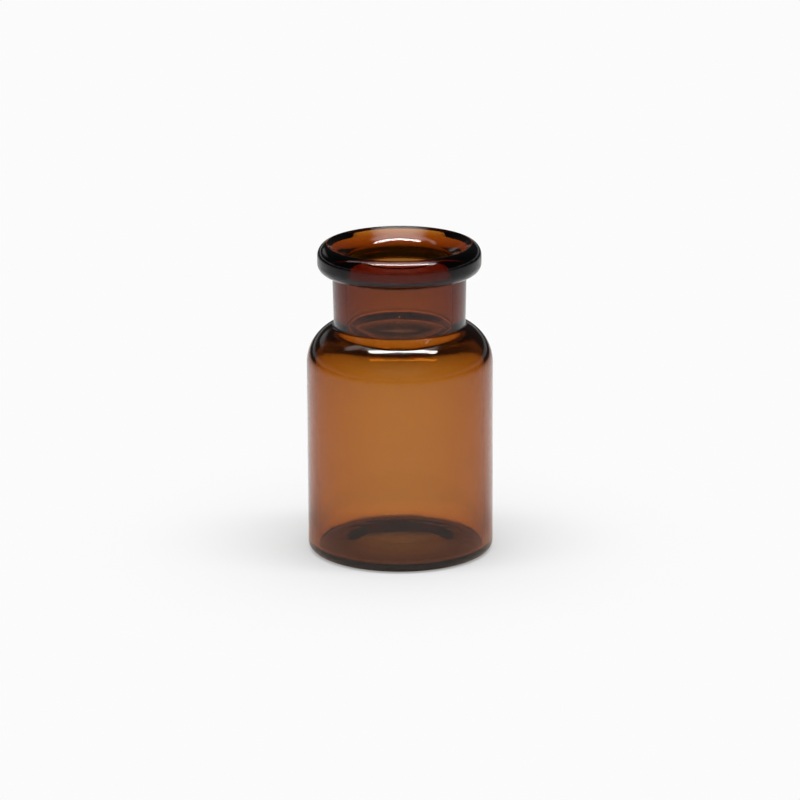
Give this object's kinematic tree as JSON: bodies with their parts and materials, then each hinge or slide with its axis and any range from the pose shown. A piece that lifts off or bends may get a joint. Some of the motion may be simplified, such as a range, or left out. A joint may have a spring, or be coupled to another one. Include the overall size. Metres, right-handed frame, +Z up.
{
  "type": "glass sample vial",
  "caption": "Small round amber glass vial with a flared funnel mouth and a crimp flange for a stopper and crimp cap.",
  "frame": {"origin": "centre of the foot ring, on the plane the vial stands on", "axes": "+Z up along the vial's axis, out of the mouth; the vial is the same all round, so +X and +Y are free"},
  "size_m": [0.0226, 0.0224, 0.038],
  "materials": {
    "amber_glass": "clear polished amber glass"
  },
  "bodies": {
    "root": {"vial": "amber_glass"}
  },
  "joints": []
}
